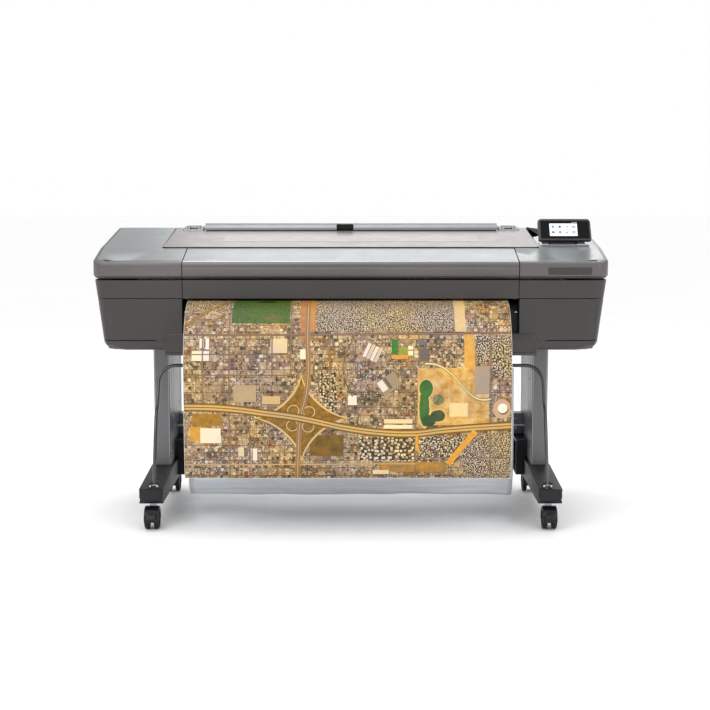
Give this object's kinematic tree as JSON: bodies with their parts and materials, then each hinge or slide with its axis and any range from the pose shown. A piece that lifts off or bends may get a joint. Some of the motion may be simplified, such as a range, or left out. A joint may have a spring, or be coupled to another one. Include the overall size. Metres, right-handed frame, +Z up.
{
  "type": "large format plotter",
  "caption": "Wide roll-fed inkjet plotter on a castered two-leg stand, with a hanging print, a cloth catch basket and a tilting control panel.",
  "frame": {"origin": "bottom centre of the bounding box, on the floor under the casters", "axes": "+Z up, +X to the operator's right along the printer's width, front towards -Y"},
  "size_m": [1.802, 0.843, 1.0711],
  "materials": {
    "body_dark": "fine-textured moulding",
    "top_silver": "satin metallic paint",
    "lid_bronze": "satin metallic paint",
    "black_plastic": "fine-textured moulding",
    "stand_silver": "satin powder coat",
    "foot_dark": "powder coat",
    "steel": "plain steel",
    "aluminium": "machined",
    "rubber": "matt",
    "paper_roll": "coated paper",
    "print": "printed coated paper",
    "fabric": "woven mesh",
    "screen": "gloss display window",
    "ink_blue": "moulded"
  },
  "bodies": {
    "root": {"left_end_housing": "body_dark", "right_end_housing": "body_dark", "centre_fascia": "body_dark", "centre_skirt": "body_dark", "rear_panel": "body_dark", "left_top_cover": "top_silver", "right_top_cover": "top_silver", "left_roll_guide": "lid_bronze", "right_roll_guide": "lid_bronze", "left_column": "stand_silver", "right_column": "stand_silver", "cross_brace": "stand_silver", "panel_base": "stand_silver", "platen": "black_plastic", "power_inlet": "black_plastic", "left_foot": "foot_dark", "right_foot": "foot_dark", "basket_rear_rod": "foot_dark", "bottom_pan": "steel", "left_side_plate": "steel", "right_side_plate": "steel", "main_beam": "steel", "carriage_rail": "steel", "carriage_motor": "steel", "carriage_belt": "rubber", "print_sheet": "print", "basket_fabric": "fabric", "left_ink_bay": "ink_blue", "right_ink_bay": "ink_blue"},
    "window": {"front_window": "top_silver"},
    "lid": {"top_lid": "lid_bronze"},
    "roll_cover": {"rear_roll_cover": "stand_silver"},
    "latch": {"roll_cover_latch": "black_plastic"},
    "left_door": {"left_ink_door": "body_dark"},
    "right_door": {"right_ink_door": "body_dark"},
    "panel": {"control_panel": "black_plastic", "touch_screen": "screen"},
    "carriage": {"print_carriage": "black_plastic", "printhead_block": "ink_blue"},
    "drive_wheel": {"drive_pulley": "aluminium"},
    "idler_wheel": {"idler_pulley": "aluminium"},
    "feed": {"feed_roller": "rubber"},
    "pinch": {"pinch_roller": "rubber"},
    "roll": {"roll_spindle": "black_plastic", "media_roll": "paper_roll", "left_roll_hub": "ink_blue", "right_roll_hub": "ink_blue"},
    "basket": {"basket_front_frame": "foot_dark"},
    "switch": {"power_switch": "black_plastic"},
    "front_left_caster": {"front_left_caster_housing": "black_plastic"},
    "front_left_wheel": {"front_left_caster_wheel": "rubber"},
    "front_left_brake": {"front_left_brake_lever": "foot_dark"},
    "front_right_caster": {"front_right_caster_housing": "black_plastic"},
    "front_right_wheel": {"front_right_caster_wheel": "rubber"},
    "front_right_brake": {"front_right_brake_lever": "foot_dark"},
    "rear_left_caster": {"rear_left_caster_housing": "black_plastic"},
    "rear_left_wheel": {"rear_left_caster_wheel": "rubber"},
    "rear_right_caster": {"rear_right_caster_housing": "black_plastic"},
    "rear_right_wheel": {"rear_right_caster_wheel": "rubber"}
  },
  "joints": [
    {"name": "front_window_hinge", "type": "hinge", "parent": "root", "child": "window", "pos_m": [0, -0.0605, 0.9715], "axis": [-1, 0, 0], "range_deg": [0, 65]},
    {"name": "top_lid_hinge", "type": "hinge", "parent": "root", "child": "lid", "pos_m": [0, 0.3885, 1.0215], "axis": [-1, 0, 0], "range_deg": [0, 60]},
    {"name": "roll_cover_hinge", "type": "hinge", "parent": "root", "child": "roll_cover", "pos_m": [0, 0.3975, 1.011], "axis": [-1, 0, 0], "range_deg": [0, 95]},
    {"name": "latch_press", "type": "slide", "parent": "roll_cover", "child": "latch", "axis": [0, 0, -1], "range_m": [0, 0.0015], "stiffness_N_per_m": 300, "springref_m": -0.002},
    {"name": "left_ink_door_hinge", "type": "hinge", "parent": "root", "child": "left_door", "pos_m": [-0.72, -0.238, 0.6567], "axis": [1, 0, 0], "range_deg": [0, 80]},
    {"name": "right_ink_door_hinge", "type": "hinge", "parent": "root", "child": "right_door", "pos_m": [0.72, -0.238, 0.6567], "axis": [1, 0, 0], "range_deg": [0, 80]},
    {"name": "control_panel_tilt", "type": "hinge", "parent": "root", "child": "panel", "pos_m": [0.776, 0.0105, 0.9935], "axis": [-1, 0, 0], "range_deg": [-15, 25]},
    {"name": "carriage_slide", "type": "slide", "parent": "root", "child": "carriage", "axis": [1, 0, 0], "range_m": [-0.66, 0.66]},
    {"name": "drive_pulley_turn", "type": "hinge", "parent": "root", "child": "drive_wheel", "pos_m": [0.76, 0.1055, 0.855], "axis": [0, 1, 0], "range_deg": [-3160, 3160]},
    {"name": "idler_pulley_turn", "type": "hinge", "parent": "root", "child": "idler_wheel", "pos_m": [-0.76, 0.1055, 0.855], "axis": [0, 1, 0], "range_deg": [-3160, 3160]},
    {"name": "roll_spindle_turn", "type": "hinge", "parent": "root", "child": "roll", "pos_m": [0, 0.2485, 0.87], "axis": [1, 0, 0], "continuous": true},
    {"name": "feed_roller_turn", "type": "hinge", "parent": "root", "child": "feed", "pos_m": [0, 0.1135, 0.7808], "axis": [1, 0, 0], "continuous": true},
    {"name": "pinch_roller_turn", "type": "hinge", "parent": "root", "child": "pinch", "pos_m": [0, 0.1135, 0.8056], "axis": [1, 0, 0], "continuous": true},
    {"name": "basket_frame_hinge", "type": "hinge", "parent": "root", "child": "basket", "pos_m": [0, -0.3275, 0.1585], "axis": [1, 0, 0], "range_deg": [0, 28], "deforming": ["basket_fabric"]},
    {"name": "power_switch_rock", "type": "hinge", "parent": "root", "child": "switch", "pos_m": [0.455, 0.41, 0.672], "axis": [1, 0, 0], "range_deg": [0, 8]},
    {"name": "front_left_caster_swivel", "type": "hinge", "parent": "root", "child": "front_left_caster", "pos_m": [-0.695, -0.2865, 0.094], "axis": [0, 0, 1], "continuous": true},
    {"name": "front_left_wheel_roll", "type": "hinge", "parent": "front_left_caster", "child": "front_left_wheel", "pos_m": [-0.695, -0.3065, 0.0375], "axis": [1, 0, 0], "continuous": true},
    {"name": "front_left_brake_press", "type": "hinge", "parent": "front_left_caster", "child": "front_left_brake", "pos_m": [-0.695, -0.3465, 0.064], "axis": [1, 0, 0], "range_deg": [0, 20]},
    {"name": "front_right_caster_swivel", "type": "hinge", "parent": "root", "child": "front_right_caster", "pos_m": [0.695, -0.2865, 0.094], "axis": [0, 0, 1], "continuous": true},
    {"name": "front_right_wheel_roll", "type": "hinge", "parent": "front_right_caster", "child": "front_right_wheel", "pos_m": [0.695, -0.3065, 0.0375], "axis": [1, 0, 0], "continuous": true},
    {"name": "front_right_brake_press", "type": "hinge", "parent": "front_right_caster", "child": "front_right_brake", "pos_m": [0.695, -0.3465, 0.064], "axis": [1, 0, 0], "range_deg": [0, 20]},
    {"name": "rear_left_caster_swivel", "type": "hinge", "parent": "root", "child": "rear_left_caster", "pos_m": [-0.695, 0.3635, 0.094], "axis": [0, 0, 1], "continuous": true},
    {"name": "rear_left_wheel_roll", "type": "hinge", "parent": "rear_left_caster", "child": "rear_left_wheel", "pos_m": [-0.695, 0.3435, 0.0375], "axis": [1, 0, 0], "continuous": true},
    {"name": "rear_right_caster_swivel", "type": "hinge", "parent": "root", "child": "rear_right_caster", "pos_m": [0.695, 0.3635, 0.094], "axis": [0, 0, 1], "continuous": true},
    {"name": "rear_right_wheel_roll", "type": "hinge", "parent": "rear_right_caster", "child": "rear_right_wheel", "pos_m": [0.695, 0.3435, 0.0375], "axis": [1, 0, 0], "continuous": true}
  ],
  "couplings": [
    {"joint": "drive_pulley_turn", "follows": "carriage_slide", "rad_per_m": -83.333},
    {"joint": "idler_pulley_turn", "follows": "carriage_slide", "rad_per_m": -83.333},
    {"joint": "feed_roller_turn", "follows": "roll_spindle_turn", "ratio": -3.6667},
    {"joint": "pinch_roller_turn", "follows": "roll_spindle_turn", "ratio": 6.875}
  ]
}
